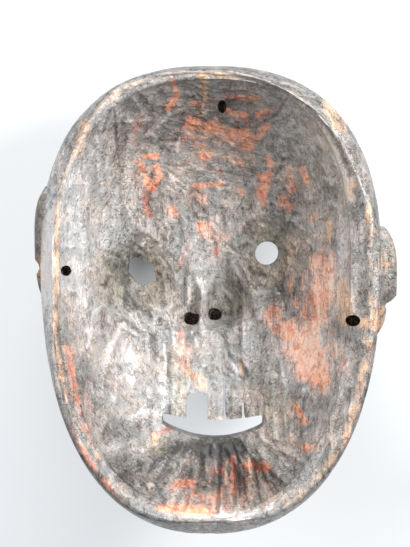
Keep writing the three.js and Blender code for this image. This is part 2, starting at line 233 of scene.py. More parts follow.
def eye_relief(x, y, eye):
    outward, up = (x - eye["x"]) * eye["side"], y - eye["y"]
    t = np.clip((outward - BROW["inner"]) / (BROW["outer"] - BROW["inner"]), 0, 1)
    arch = np.sin(math.pi * t)
    brow_y = eye["brow_lift"] + BROW["arch"] * arch - BROW["fall"] * t
    past = np.maximum(0, np.maximum(BROW["inner"] - outward, outward - BROW["outer"]))
    half_width = BROW["half_width"] + BROW["widens"] * arch
    brow = plateau(np.hypot(past, up - brow_y) / half_width, 0.25)
    ball = 9 * mound(0.9 * oval(outward, up, 0, 0, 21, 16)) - 6 * mound(oval(outward, up, 0, 2, 32, 24))
    lids = 2.6 * mound((oval(outward, up, 0, 0, 23, 13.5) - 1) * 4.5)
    bag = 3 * mound((oval(outward, up, 0, -2, 30, 21) - 1) * 3.2) * smooth(4, -8, up)
    return brow * (BROW["height"] + eye["brow_rise"] * smooth(0.1, 0.5, t)) + ball + lids + bag


def nose_relief(x, y):
    down = smooth(NOSE["root_y"], NOSE["tip_y"], y)
    middle = NOSE["x"] + 0.04 * (y - NOSE["tip_y"])
    across = mound((x - middle) / (17 + 9 * down)) ** 0.8
    ridge = (6 + 10 * down) * across * smooth(NOSE["base_y"], -15, y) * smooth(66, 40, y)
    return ridge + mounds(x, y, NOSE_FORMS)


def mouth_relief(x, y):
    across = x - MOUTH["x"]
    lips = np.hypot(across / 36, (y + 70 - 0.0045 * across**2) / 19)
    beside = mound((oval(x, y, MOUTH["x"], -66, 52, 46) - 1) * 7)
    fold = 3.2 * beside * smooth(-88, -60, y) * smooth(-14, -24, y)
    in_tooth = ((x - TOOTH["edge"]) / TOOTH["width"]) % 1
    from_edge = np.minimum(in_tooth, 1 - in_tooth) * TOOTH["width"]
    tooth = 4 - 1.6 * (1 - smooth(0, TOOTH["groove"], from_edge))
    teeth = tooth * (1 - smooth(0.8, 0.95, lips)) * smooth(-76, -74, y - TIPS["curve"] * across**2)
    return 5 * mound((lips - 1.08) * 3.2) - 7 * (1 - smooth(0.78, 0.98, lips)) + teeth - fold


def third_eye_relief(x, y):
    up = (y - THIRD_EYE["y"]) / THIRD_EYE["half_height"]
    narrow = 1 - 0.55 * np.minimum(1, up * up)
    off = np.hypot((x - THIRD_EYE["x"]) / (THIRD_EYE["half_width"] * narrow), up)
    return 4 * mound(off * 0.75) + 2.2 * mound((off - 1) * 3.6)


def face_relief(x, y):
    eyes = sum(eye_relief(x, y, eye) for eye in EYES)
    features = nose_relief(x, y) + mouth_relief(x, y) + third_eye_relief(x, y)
    return eyes + features + mounds(x, y, FACE_FORMS)


# The flank turns in under the widest line, down to where it meets the rim
UNDERCUT = (OUTSIDE["widest_depth"] - RIM_ROUND) / (OUTSIDE["depth"] - OUTSIDE["widest_depth"])
LAST_TURN = math.acos(-(UNDERCUT ** (OUTSIDE["down"] / 2)))
LAST_SHARE = math.sin(LAST_TURN) ** (2 / OUTSIDE["across"])


def outside_place(p, q):
    reach, angle = disc(p, q)
    edge_x, edge_y = outline(angle)
    turn = reach * LAST_TURN
    bare = np.sin(turn) ** (2 / OUTSIDE["across"])
    under = (1 - bare) / (1 - LAST_SHARE) * around(angle, RIM_SET_BACK) / np.hypot(edge_x, edge_y)
    share = np.where(turn < math.pi / 2, bare, 1 - under)
    x, y = edge_x * share, WIDEST_Y + edge_y * share
    dome = (OUTSIDE["depth"] - OUTSIDE["widest_depth"]) * power(np.cos(turn), 2 / OUTSIDE["down"])
    on_face = smooth(1.45, 1.2, turn)
    depth = OUTSIDE["widest_depth"] + dome + face_relief(x, y) * on_face
    depth = np.maximum(depth, (hollow_depth(x, y) + LEAST_WALL) * on_face)
    return np.stack([x, y, rim_wave(angle, reach) - depth], -1)


def shell_place(p, q, t):
    """From the hollow's skin at t = 0, over the rounded crest of the rim, to the face's skin at t = 1."""
    inside, outside = hollow_place(p, q), outside_place(p, q)
    place = inside + (outside - inside) * t[:, None]
    crest = outside[:, 2] + RIM_ROUND
    fall = np.where(t < RIM_CREST, crest - inside[:, 2], RIM_ROUND)
    across = np.where(t < RIM_CREST, t / RIM_CREST, (1 - t) / (1 - RIM_CREST))
    place[:, 2] = crest - fall * (1 - np.sin(math.pi / 2 * across))
    return place


def raw_block(near_cells, far_cells, rows):
    """A closed square block: a grid in z = 0, rows of faces down its side, and a grid at the far end."""
    block = bmesh.new()
    bmesh.ops.create_grid(block, x_segments=near_cells[0], y_segments=near_cells[1], size=1)
    border = [edge for edge in block.edges if edge.is_boundary]
    for _ in range(rows - 1):
        made = bmesh.ops.extrude_edge_only(block, edges=border)["geom"]
        corners = [item for item in made if isinstance(item, bmesh.types.BMVert)]
        bmesh.ops.translate(block, vec=(0, 0, -1), verts=corners)
        border = [item for item in made if isinstance(item, bmesh.types.BMEdge) and item.is_boundary]
    far = bmesh.ops.create_grid(block, x_segments=far_cells[0], y_segments=far_cells[1], size=1)["verts"]
    bmesh.ops.translate(block, vec=(0, 0, -rows), verts=far)
    far_border = {edge for vertex in far for edge in vertex.link_edges if edge.is_boundary}
    bmesh.ops.bridge_loops(block, edges=border + sorted(far_border, key=lambda edge: edge.index))
    bmesh.ops.triangulate(block, faces=block.faces)
    bmesh.ops.recalc_face_normals(block, faces=block.faces)
    return block


def mesh_of(block, name):
    mesh = bpy.data.meshes.new(name)
    block.to_mesh(mesh)
    block.free()
    return mesh


def places_of(mesh):
    places = np.empty(len(mesh.vertices) * 3, np.float32)
    mesh.vertices.foreach_get("co", places)
    return places.reshape(-1, 3).astype(float)


def move_to(mesh, places):
    mesh.vertices.foreach_set("co", places.astype(np.float32).ravel())
    mesh.update()


def normals_of(mesh):
    normals = np.empty(len(mesh.vertices) * 3, np.float32)
    mesh.vertex_normals.foreach_get("vector", normals)
    return normals.reshape(-1, 3).astype(float)


wood = bpy.data.materials.new("smoked_wood")
bore_painted_shade = bpy.data.materials.new("bore_painted_shade")
shell_mesh = mesh_of(raw_block(HOLLOW_CELLS, FACE_CELLS, len(RIM_STEPS) - 1), "mask_carving")
shell_mesh.materials.append(wood)
patch = places_of(shell_mesh)
level = np.round(-patch[:, 2]).astype(int)
on_rim = np.array(RIM_STEPS)[level]
base = shell_place(patch[:, 0], patch[:, 1], on_rim)
move_to(shell_mesh, base)

# Finer forms of the hollow, as depths: the block of the upper lip stands up between two edges, with a
# groove along its left, and the backs of the teeth are bevelled down to the slot
LIP_BLOCK = {"left": -25.5, "right": 19.5, "top": -18, "height": 0.7}
GROOVE = {"x": -26.6, "width": 1.2, "depth": 0.5, "sway": 0.7}
TOOTH_BEVEL = {"start": -65.5, "depth": 4.5, "left": -2.6, "right": 20.5}


def finer(x, y):
    down = smooth(LIP_BLOCK["top"] + 4, LIP_BLOCK["top"] - 4, y)
    wide = smooth(LIP_BLOCK["left"] - 1.2, LIP_BLOCK["left"] + 1.2, x)
    wide = wide * smooth(LIP_BLOCK["right"] + 5, LIP_BLOCK["right"] - 1, x - 0.12 * (y + 40))
    groove_x = GROOVE["x"] + GROOVE["sway"] * np.sin(y / 6)
    groove = mound((x - groove_x) / GROOVE["width"]) * down * smooth(-84, -70, y)
    teeth = smooth(TOOTH_BEVEL["left"] - 0.6, TOOTH_BEVEL["left"] + 0.6, x)
    teeth = teeth * smooth(TOOTH_BEVEL["right"] + 1.5, TOOTH_BEVEL["right"] - 1.5, x)
    back = smooth(TOOTH_BEVEL["start"], TIPS["y"], y + 0.08 * np.abs(x - 7)) * teeth
    low = smooth(TIPS["y"] - 12, TIPS["y"] - 8, y)
    return GROOVE["depth"] * groove + (TOOTH_BEVEL["depth"] * back - LIP_BLOCK["height"] * wide * down) * low


# The tool marks: strokes of a gouge that overlap, so the deepest wins and a sharp ridge stays between
# two. Each stroke starts shallow and ends short. Headings are in degrees from +x, none for all ways.
STROKES = {
    "crown": {
        "at": (0, 92), "spread": (88, 52), "count": 420, "heading": None, "wander": 0,
        "length": (8, 26), "width": (2.5, 7), "depth": (0.25, 0.9),
    },
    "brow": {
        "at": (6, 96), "spread": (42, 30), "count": 170, "heading": -8, "wander": 22,
        "length": (14, 34), "width": (2, 5), "depth": (0.3, 1.1),
    },
    "left_wall": {
        "at": (-74, 28), "spread": (26, 96), "count": 90, "heading": 90, "wander": 9,
        "length": (20, 60), "width": (6, 13), "depth": (0.5, 1.5),
    },
    "left_cheek": {
        "at": (-56, -52), "spread": (42, 62), "count": 200, "heading": 80, "wander": 32,
        "length": (9, 30), "width": (4, 11), "depth": (0.4, 1.6),
    },
    "right_wall": {
        "at": (74, 20), "spread": (26, 100), "count": 120, "heading": 92, "wander": 12,
        "length": (18, 50), "width": (4, 9), "depth": (0.4, 1.2),
    },
    "right_cheek": {
        "at": (54, -36), "spread": (36, 62), "count": 240, "heading": 88, "wander": 9,
        "length": (14, 44), "width": (2, 5), "depth": (0.3, 1.1),
    },
    "nose_root": {
        "at": (-2, 32), "spread": (40, 36), "count": 130, "heading": 90, "wander": 24,
        "length": (10, 30), "width": (2.5, 7), "depth": (0.3, 1.2),
    },
    "upper_lip": {
        "at": (0, -42), "spread": (32, 36), "count": 90, "heading": 90, "wander": 8,
        "length": (12, 36), "width": (3.5, 9), "depth": (0.4, 1.6),
    },
    "chin": {
        "at": (4, -112), "spread": (68, 32), "count": 150, "heading": "from_mouth", "wander": 9,
        "length": (14, 38), "width": (3, 7), "depth": (0.4, 1.8),
    },
    "left_pit": {
        "at": (-47, 10), "spread": (26, 28), "count": 110, "heading": None, "wander": 0,
        "length": (6, 16), "width": (3, 7), "depth": (0.5, 1.9),
    },
    "right_pit": {
        "at": (37, 25), "spread": (22, 25), "count": 90, "heading": None, "wander": 0,
        "length": (6, 16), "width": (3, 7), "depth": (0.5, 1.8),
    },
}
FACE_STROKES = {"count": 900, "length": (8, 26), "width": (3.5, 8), "depth": (0.1, 0.4)}
RIM_STROKES = {"count": 190, "length": (12, 44), "width": (3, 7), "depth": (0.2, 0.9)}
AROUND_RIM = 125
ACROSS_RIM = 14

# Cuts that stand out by themselves, from place to place, with width and depth: flats along the left
# wall, chips in the lip, and the long gouge strokes that fan out below the mouth
SINGLE_CUTS = [
    (-86, 72, -84, 30, 17, 2.2), (-84, 34, -86, 4, 16, 2.4), (-84, 2, -80, -34, 16, 2.2),
    (-68, 74, -70, 14, 12, 1.7), (-62, -14, -72, -52, 15, 2.2), (-46, -40, -56, -82, 18, 2.0),
    (-40, -66, -64, -96, 16, 2.2), (14, -36, 19, -50, 8, 3.4), (-12, -20, -13, -60, 7, 1.6),
    (4, -14, 6, -60, 8, 1.6), (28, -20, 27, -62, 8, 1.6), (84, 66, 90, 30, 10, 2.0),
    (76, 92, 86, 66, 9, 2.2), (-24, -96, -36, -110, 9, 3.0), (-6, -92, -11, -118, 5, 2.6),
    (4, -92, 2, -128, 4.5, 2.8), (12, -92, 13, -124, 4, 2.4), (22, -92, 27, -116, 4, 2.4),
    (-54, 112, -57, 80, 3, 2.0), (-58, 84, -56, 70, 2, 1.6),
]


class Cuts:
    """The cuts over a set of places: how deep, the next deepest, and the tone of the deepest stroke."""

    def __init__(self, u, v):
        self.u, self.v = u, v
        self.depth, self.second = np.zeros_like(u), np.full_like(u, -1.0)
        self.tone = np.full_like(u, 0.5)

    def stroke(self, u, v, heading, length, width, depth, tone):
        """One stroke, its flat bottom lying a little askew."""
        cos, sin = math.cos(heading), math.sin(heading)
        near = np.flatnonzero((np.abs(self.u - u) < length) & (np.abs(self.v - v) < length))
        along = (self.u[near] - u) * cos + (self.v[near] - v) * sin
        across = (self.v[near] - v) * cos - (self.u[near] - u) * sin
        t, s = 2 * along / length, 2 * across / width
        ends = smooth(-1, -0.3, t) * smooth(1, 0.8, t)
        cut = depth * ends * (1 - np.abs(s) ** 2.5) + 0.25 * depth * (tone - 0.5) * s
        cut = np.where((np.abs(t) < 1) & (np.abs(s) < 1.15), cut, -1)
        held, held_second = self.depth[near], self.second[near]
        wins = cut > held
        self.second[near] = np.where(wins, held, np.maximum(held_second, cut))
        self.depth[near] = np.where(wins, cut, held)
        self.tone[near[wins]] = tone


def between(random, limits):
    return limits[0] + (limits[1] - limits[0]) * random.random()


hollow_cuts = Cuts(base[:, 0], base[:, 1])
random = np.random.default_rng(7)
for start_x, start_y, end_x, end_y, width, cut_depth in SINGLE_CUTS:
    run_x, run_y = end_x - start_x, end_y - start_y
    sizes = math.hypot(run_x, run_y), width, cut_depth
    middle = (start_x + end_x) / 2, (start_y + end_y) / 2
    hollow_cuts.stroke(*middle, math.atan2(run_y, run_x), *sizes, 0.6)
for group in STROKES.values():
    for _ in range(group["count"]):
        out, way = math.sqrt(random.random()), random.random() * 2 * math.pi
        u = group["at"][0] + group["spread"][0] * out * math.cos(way)
        v = group["at"][1] + group["spread"][1] * out * math.sin(way)
        turn = math.radians(group["wander"]) * random.normal()
        if group["heading"] is None:
            turn = random.random() * 2 * math.pi
        elif group["heading"] == "from_mouth":
            turn += math.atan2(v + 66, u - MOUTH["x"])
        else:
            turn += math.radians(group["heading"])
        sizes = [between(random, group[size]) for size in ("length", "width", "depth")]
        hollow_cuts.stroke(u, v, turn, *sizes, random.random())

# The face and the flanks are pared smoother, in strokes laid out over the square of the block
face_cuts = Cuts(patch[:, 0] * HALF_WIDTH, patch[:, 1] * CHIN["reach"])
for _ in range(FACE_STROKES["count"]):
    u, v = (2 * random.random() - 1) * HALF_WIDTH, (2 * random.random() - 1) * CHIN["reach"]
    turn = math.pi / 2 + 0.6 * random.normal()
    sizes = [between(random, FACE_STROKES[size]) for size in ("length", "width", "depth")]
    face_cuts.stroke(u, v, turn, *sizes, random.random())

# The rim is pared along its length
_, rim_angle = disc(patch[:, 0], patch[:, 1])
rim_cuts = Cuts(rim_angle * AROUND_RIM, on_rim * ACROSS_RIM)
for _ in range(RIM_STROKES["count"]):
    u, v = (2 * random.random() - 1) * math.pi * AROUND_RIM, random.random() * ACROSS_RIM
    sizes = [between(random, RIM_STROKES[size]) for size in ("length", "width", "depth")]
    rim_cuts.stroke(u, v, 0.06 * random.normal(), *sizes, random.random())

in_hollow = level == 0
on_face = level == len(RIM_STEPS) - 1
between_them = ~in_hollow & ~on_face
fade_in = smooth(0.999, 0.96, disc(patch[:, 0], patch[:, 1])[0])
layers = [(in_hollow, hollow_cuts, fade_in), (on_face, face_cuts, fade_in), (between_them, rim_cuts, 1)]


def pick(name):
    return sum(np.where(where, getattr(cuts, name), 0) for where, cuts, _ in layers)


depth = sum(np.where(where, cuts.depth * fade, 0) for where, cuts, fade in layers)
ridge = 1 - smooth(0, 0.22, pick("depth") - pick("second"))
cut = base - normals_of(shell_mesh) * depth[:, None]
cut[:, 2] -= np.where(in_hollow, finer(base[:, 0], base[:, 1]) * fade_in, 0)

# The rim is worn away beside the right ear, and flat where it bears on a wall. The brows and the nose
# are flat where the mask lies on them.
WORN_AWAY = {"low": 25, "high": 46, "depth": 4}
by_the_ear = smooth(WORN_AWAY["high"], WORN_AWAY["low"] + 1, cut[:, 1]) * (cut[:, 1] > WORN_AWAY["low"])
cut[:, 0] -= WORN_AWAY["depth"] * by_the_ear * (cut[:, 0] > 0) * smooth(0.45, 0.8, on_rim) * ~on_face
cut[:, 2] = np.minimum(cut[:, 2], RIM_WAVE - RIM_WORN)
lying = lie_down(cut)
lying[:, 2] = np.maximum(lying[:, 2], 0)
move_to(shell_mesh, lying)


def give(mesh, name, kind, values):
    """Writes one value or colour a vertex."""
    attribute = mesh.attributes.new(name, kind, "POINT")
    field = {"FLOAT": "value", "FLOAT_COLOR": "color"}[kind]
    attribute.data.foreach_set(field, np.ascontiguousarray(values, np.float32).ravel())


give(shell_mesh, "tone", "FLOAT", pick("tone"))
give(shell_mesh, "ridge", "FLOAT", ridge)
give(shell_mesh, "skin", "FLOAT", on_rim)
carving = bpy.data.objects.new("mask_carving", shell_mesh)
bpy.context.collection.objects.link(carving)

# The ears are part of the same block, left standing flat on the flanks, each with a shell and a lobe
EARS = [
    {"side": -1, "y": 32.4, "half_height": 36.7, "out": 104.5, "lobe": 0.5},
    {"side": 1, "y": 10, "half_height": 34, "out": 109, "lobe": 5.5},
]
EAR = {"depth": 31, "half_width": 16.5, "lean": 0.6, "slant": 4, "sunk": 84, "swell": 2.5}
NOTCH = {"up": -0.36, "half_height": 0.14, "depth": 2.5}
EAR_CELLS = (36, 36)
# Where a point lies is kept as its skin: 0 in the hollow, 1 on the face, and these off the shell
EAR_SKIN, BORE_SKIN = 2, 3


def ear_place(ear, p, q, outer):
    reach, angle = disc(-ear["side"] * p, q)
    up = power(np.sin(angle), 0.42) * reach
    half_width = EAR["half_width"] * (1 - 0.42 * np.maximum(0, -up))
    along = half_width * power(np.cos(angle), 0.5) * reach
    y = ear["y"] + up * ear["half_height"]
    z = along + EAR["slant"] * up - EAR["depth"]
    stand = ear["out"] - EAR["lean"] * (half_width - along) + EAR["swell"] * (1 - up * up)
    edge = 2 * mound((reach - 0.8) / 0.22) - 2 * reach**8
    shell = 6 * mound(oval(along, up, 1, 0.1, 10, 0.62))
    notch = NOTCH["depth"] * mound((up - NOTCH["up"]) / NOTCH["half_height"])
    lobe = ear["lobe"] * smooth(-0.3, -0.44, up) + notch
    x = np.where(outer, stand + edge - shell - lobe, EAR["sunk"] + 0.6 * along)
    return np.stack([ear["side"] * x, y, z], -1)


def boolean(target, tool, operation):
    cut = target.modifiers.new(tool.name, "BOOLEAN")
    cut.solver = "MANIFOLD"
    cut.operation = operation
    cut.material_mode = "TRANSFER"
    cut.object = tool


tools = []
for ear in EARS:
    ear_mesh = mesh_of(raw_block(EAR_CELLS, EAR_CELLS, 1), "ear")
    ear_mesh.materials.append(wood)
    places = places_of(ear_mesh)
    outer = places[:, 2] > -0.5
    move_to(ear_mesh, lie_down(ear_place(ear, places[:, 0], places[:, 1], outer)))
    turning = bmesh.new()
    turning.from_mesh(ear_mesh)
    bmesh.ops.recalc_face_normals(turning, faces=turning.faces)
    turning.to_mesh(ear_mesh)
    turning.free()
    give(ear_mesh, "skin", "FLOAT", np.full(len(places), EAR_SKIN))
    tool = bpy.data.objects.new("ear", ear_mesh)
    bpy.context.collection.objects.link(tool)
    boolean(carving, tool, "UNION")
    tools.append(tool)

# The openings go right through: two eyes, two slanted nostrils, the mouth under its teeth with a gap
# and two cracks between them, and three slanted holes for the cords. The left eye was cut in facets.
LEFT_EYE = [
    (-51.3, 24.1), (-47.4, 25.3), (-36.6, 20.9), (-34.6, 10.7), (-43, 7.3), (-47.4, 9.8), (-52.1, 15.8),
]
RIGHT_EYE = {"x": 34.4, "y": 27.8, "radius": 7.3, "uneven": 0.2, "turn": 0.8}
NOSTRILS = [
    {"start": [-11.7, -9.4, -60], "end": [-16, -31, -100], "radius": 4.7},
    {"start": [-0.6, -2.6, -60], "end": [7, -28, -100], "radius": 4.1},
]
TIE_HOLES = [
    {"start": [6.2, 115, -28], "end": [6.2, 139, -43.5], "radius": 2.5},
    {"start": [-87, 16.7, -21], "end": [-108, 17, -15.5], "radius": 2.4},
    {"start": [83, -13, -16], "end": [108, -13.5, -18.2], "radius": 2.6},
]
PITS = [(6.2, 115.8, 2.6, 3.6, -31), (-87.6, 16.7, 2.9, 3.1, -25), (83.8, -13, 4.1, 3.4, -20)]
MISSING_TOOTH = [
    (-15.9, -77), (-2.6, -77), (-2.4, -59.6), (-4.6, -59.9), (-5.4, -58.6), (-7, -59.2), (-8.2, -57.9),
    (-9.6, -59), (-11, -58.1), (-12.4, -59.6), (-13.4, -58.9), (-15.6, -61),
]
CRACKS = [[(6.6, -77), (9.8, -77), (8.6, -72.5), (8.4, -53.8), (7.4, -53.8), (7.3, -72.5)],
          [(18.4, -77), (21, -77), (20.2, -72), (20, -64.9), (18.6, -64.9), (18.7, -72)]]
THROUGH = [-OUTSIDE["depth"] * 1.5, 5]
SLOT_ENDS = {"crowding": 0.75, "bluntness": 0.2}


def bore(name, corners, start, end, lining=wood):
    """Takes out one closed outline, drawn square to its axis and run from start to end."""
    start, end = np.array(start, float), np.array(end, float)
    axis = (end - start) / np.linalg.norm(end - start)
    side = np.cross([0, 1, 0], axis)
    side /= np.linalg.norm(side)
    up = np.cross(axis, side)
    tool = bmesh.new()
    ring = [tool.verts.new(lie_down(start + side * x + up * y)) for x, y in corners]
    face = tool.faces.new(ring)
    made = bmesh.ops.extrude_face_region(tool, geom=[face])["geom"]
    shift = lie_down(end) - lie_down(start)
    bmesh.ops.translate(tool, vec=shift, verts=[v for v in made if isinstance(v, bmesh.types.BMVert)])
    bmesh.ops.recalc_face_normals(tool, faces=tool.faces)
    tool_mesh = mesh_of(tool, name)
    tool_mesh.materials.append(lining)
    give(tool_mesh, "skin", "FLOAT", np.full(len(tool_mesh.vertices), BORE_SKIN))
    cutter = bpy.data.objects.new(name, tool_mesh)
    bpy.context.collection.objects.link(cutter)
    boolean(carving, cutter, "DIFFERENCE")
    tools.append(cutter)


def round_outline(sides, radius_at, x=0, y=0):
    angles = [2 * math.pi * k / sides for k in range(sides)]
    return [(x + radius_at(a) * math.cos(a), y + radius_at(a) * math.sin(a)) for a in angles]


def slot_outline():
    """The slot from its left end along the lip and back under the teeth, with rounded ends."""
    turn = np.linspace(0, math.pi, 25)
    middle, half = (MOUTH["left"] + MOUTH["right"]) / 2, (MOUTH["right"] - MOUTH["left"]) / 2
    across = middle - half * power(np.cos(turn), SLOT_ENDS["crowding"])
    off = (across - MOUTH["x"]) ** 2
    low, high = [edge["y"] + edge["curve"] * off for edge in (LIP, TIPS)]
    open_by = np.abs(np.sin(turn)) ** SLOT_ENDS["bluntness"]
    level = (low + high) / 2
    low, high = level + (low - level) * open_by, level + (high - level) * open_by
    return list(zip(across, low)) + list(zip(across, high))[-2:0:-1]


def right_eye_radius(angle):
    return RIGHT_EYE["radius"] + RIGHT_EYE["uneven"] * math.cos(2 * (angle - RIGHT_EYE["turn"]))


below, above = [[0, 0, z] for z in THROUGH]
right_eye = round_outline(40, right_eye_radius, RIGHT_EYE["x"], RIGHT_EYE["y"])
for name, corners in [("eye_hole", LEFT_EYE), ("eye_hole", right_eye), ("mouth_slot", slot_outline())]:
    bore(name, corners, below, above)
for corners in [MISSING_TOOTH, *CRACKS]:
    bore("tooth_gap", corners, below, above)
# The nostrils, the cord holes and the pits are lined with near-black painted shade
for hole in NOSTRILS + TIE_HOLES:
    bore("hole", round_outline(24, lambda angle: hole["radius"]), hole["start"], hole["end"], bore_painted_shade)
unit_ring = round_outline(24, lambda angle: 1)
for at_x, at_y, half_width, half_height, bottom in PITS:
    corners = [(at_x + x * half_width, at_y + y * half_height) for x, y in unit_ring]
    bore("pit", corners, [0, 0, bottom], above, bore_painted_shade)

finished = bpy.data.meshes.new_from_object(carving.evaluated_get(bpy.context.evaluated_depsgraph_get()))
carving.modifiers.clear()
carving.data = finished
for tool in tools:
    bpy.data.objects.remove(tool)
finished.shade_smooth()

# The strokes push the ears out by a hair, and nothing may stand out past the part's own box
move_to(finished, np.clip(places_of(finished), *cad_box))
finished.set_sharp_from_angle(angle=math.radians(55))

# What shows on the wood. Paint was brushed into the hollow and is left in streaks, given from place to
# place in millimetres with a half width and how much is left. Deep is an older, darker coat of it.
PAINT = [
    (-23, 129, -21, 122, 1.6, 0.9), (-21, 122, -26, 115, 1.8, 0.95), (8, 122, 27, 120, 1.6, 0.9),
    (-12, 117, -1, 118, 2, 0.7), (-13, 106, 22, 99, 5, 0.8), (-15, 99, -3, 91, 4.5, 0.62),
    (22, 92, 33, 104, 2.6, 0.95), (9, 114, 20, 111, 2, 0.9), (28, 111, 37, 114, 2, 0.85),
    (12, 100, 19, 94, 4, 0.85), (12, 87, 20, 84, 3, 0.6), (-6, 87, -1, 87, 2, 0.85),
    (-41, 87, -34, 87, 2, 0.9), (-43, 82, -40, 74, 2.4, 0.95), (-40, 74, -38, 67, 2.6, 0.95),
    (-34, 80, -32, 74, 2.4, 0.95), (-32, 74, -38, 67, 2.6, 0.95), (-12, 69, 6, 71, 1.8, 0.85),
    (-10, 65, -7, 62, 4.5, 0.55), (18, 66, 19, 64, 2, 0.85), (35, 85, 36, 82, 2.6, 1),
    (30, 75, 36, 76, 2.2, 1), (33, 73, 31, 64, 3.4, 1), (32, 62, 32, 59, 2.6, 0.85),
    (48, 78, 49, 67, 3.6, 0.6), (44, 60, 48, 57, 4.5, 0.7), (55, 79, 58, 70, 2, 0.9),
    (-25, 55, -23, 52, 2.4, 0.85), (60, 48, 63, 50, 2.4, 0.65), (-6, 44, 6, 37, 5, 0.6),
    (68, 22, 66, -1, 8, 0.78), (67, 5, 59, -23, 8, 0.85), (37, -10, 42, -20, 5.5, 0.85),
    (48, -20, 58, -43, 8, 0.9), (62, -29, 65, -48, 7, 1.05), (73, -29, 79, -44, 4, 0.6),
    (66, 26, 70, 28, 5, 0.6), (50, 6, 54, -8, 4, 0.55), (-19, -22, -17, -43, 3, 0.55),
    (13, -97, 13, -116, 2, 1), (21, -102, 32, -102, 3.2, 0.9), (1.5, -105, 5.5, -105, 2.6, 0.9),
    (-22, -112, -12, -112, 2.4, 0.9), (-6, -127, 0, -127, 3, 0.7), (-32, -126, -5, -127, 3.4, 1.15),
    (54, -89, 60, -89, 2.6, 0.8), (51, -65, 56, -74, 2.6, 0.8), (-58, -112, -44, -130, 4.5, 0.8),
    (-86, -29, -81, -60, 2.4, 0.7), (-78, -75, -70, -94, 3, 0.8), (30, -127, 40, -122, 3, 0.6),
]
PAINT_TRACES = [
    (4, 92, 60, 44, 0.26), (0, 56, 50, 30, 0.22), (62, -6, 30, 66, 0.36), (8, -112, 54, 22, 0.36),
    (-78, -70, 12, 40, 0.36), (-17, -34, 8, 22, 0.4), (-42, 76, 14, 24, 0.34), (44, -74, 30, 30, 0.28),
]
DEEP = [
    (-41, 64, -39, 52, 2.4, 0.95), (-44, 108, -48, 96, 3, 0.5), (21, 107, 32, 110, 3, 0.6),
    (-19, 22, -14, 38, 3.5, 0.55), (-36, -84, -24, -79, 2, 0.9), (4, 24, 2, 36, 2.5, 0.5),
    (-10, -118, 6, -120, 6, 0.5),
]
TAN = [
    (-5, 129, -5, 125, 3, 0.9), (-75, 103, -82, 86, 4, 0.6), (70, 116, 76, 104, 4.5, 0.75),
    (83, 68, 83, 61, 2.6, 0.8), (93, 54, 93, 47, 2, 0.8), (71, 45, 71, 36, 2.6, 0.7),
    (79, 8, 79, -13, 4, 0.9), (91, -15, 100, -15, 4, 1), (11, 16, 11, 10, 1.8, 1),
    (-13, -47, -4, -55, 3.4, 0.85), (-35, -88, -34, -82, 1.6, 0.8), (17, -38, 18, -45, 2.4, 0.6),
    (-15.5, 10, -15.5, -6, 1.2, 0.9),
    (-104, 21, -104, 12, 3, 1), (-107, 8, -107, 3, 2, 0.9), (-8, 132, 12, 133, 2, 0.6),
    (70, -86, 74, -80, 3, 0.5), (-21, -1, -21, -4, 2, 0.8), (104, 26, 104, 16, 4, 0.7),
    (101, -8, 101, -18, 4, 0.8),
    (-6, 114, -4, 120, 2, 0.6), (0, 88, 14, 84, 1, 0.8), (-7, 103, 9, 99, 0.9, 0.9),
    (-7, 97, 2, 96, 0.9, 0.8), (-5, 91, 2, 90, 0.9, 0.9),
]

# Pale spots are partly handled wood, which is pale and shines, and partly painted sheen and highlights,
# which also lighten walls turned away from the lamps. Scraped wood is olive, and smoke darkens it: places
# with half sizes
PALE_AND_SHEEN = [
    (-82, 52, 14, 60, 0.9), (-84, 0, 13, 60, 0.8), (-60, -90, 7, 5, 1.4), (-84, -40, 10, 30, 0.2),
    (0, -46, 28, 26, 0.9), (24, -28, 12, 26, 0.5), (68, 16, 18, 60, 1.2), (90, 40, 8, 44, 0.5),
    (-4, -16, 9, 6, 0.8), (-5, 0, 3.5, 16, 0.8), (12, -131, 60, 6, 1), (72, -100, 16, 22, 0.5),
    (54, 102, 34, 32, 1.5), (-2, 20, 16, 22, 1.3), (20, 44, 30, 16, 0.6), (10, 76, 50, 26, 0.5),
    (-14, 4, 4, 10, 0.7), (62, -30, 20, 30, 1.8), (46, -80, 26, 24, 0.6), (8, -57, 18, 8, 0.8),
    (0, 92, 26, 12, 0.4),
]
OLIVE = [
    (-46, 11, 24, 24, 1.4), (36, 26, 23, 26, 1.1), (36, -72, 18, 22, 0.75), (12, 2, 13, 22, 0.8),
    (14, -104, 40, 20, 0.5), (-14, 12, 8, 26, 0.4), (30, -40, 10, 30, 0.4), (9, -98, 3.4, 14, 1),
    (20, -102, 3.6, 12, 1), (-31, -91, 8, 8, 0.9), (10, 70, 60, 40, 0.35), (-14, -90, 20, 6, 0.5),
    (-20, -52, 7, 26, 0.9), (0, -34, 18, 14, 0.5), (68, 84, 34, 50, 0.6),
]
SMOKE = [
    (-1, -92, 28, 7, 3.2), (-50, -78, 13, 6, 0.9), (-46, -108, 26, 18, 1), (-84, -61, 4, 7, 0.7),
    (-80, -79, 4, 9, 0.7),
    (22, 30, 8, 26, 0.2), (-30, -100, 24, 10, 1), (48, 4, 14, 14, 0.7), (10, -106, 36, 18, 1.6),
    (-8, 116, 40, 12, 0.35), (-30, 104, 22, 16, 0.45), (60, 24, 10, 18, 0.5), (-34, 56, 9, 26, 0.6),
    (22, 106, 12, 7, 0.5), (54, -12, 6, 6, 1), (74, -20, 7, 8, 0.8), (-46, 11, 22, 26, 0.7),
    (-16, -30, 5, 20, 0.3), (50, -84, 14, 14, 0.3), (-76, 12, 10, 6, 0.3), (14, 0, 9, 12, 0.5),
]

# Where hands and faces have rubbed the wood smooth, its small marks are faint
CALM = [
    (-58, -42, 36, 58, 1), (-82, 36, 20, 70, 0.8), (-2, -46, 34, 30, 1.1), (12, 2, 16, 20, 0.6),
    (12, -128, 60, 10, 0.7), (-46, 11, 26, 26, 0.5), (-2, 6, 24, 28, 0.8), (8, -108, 50, 16, 0.4),
    (4, 84, 66, 40, 0.4),
]
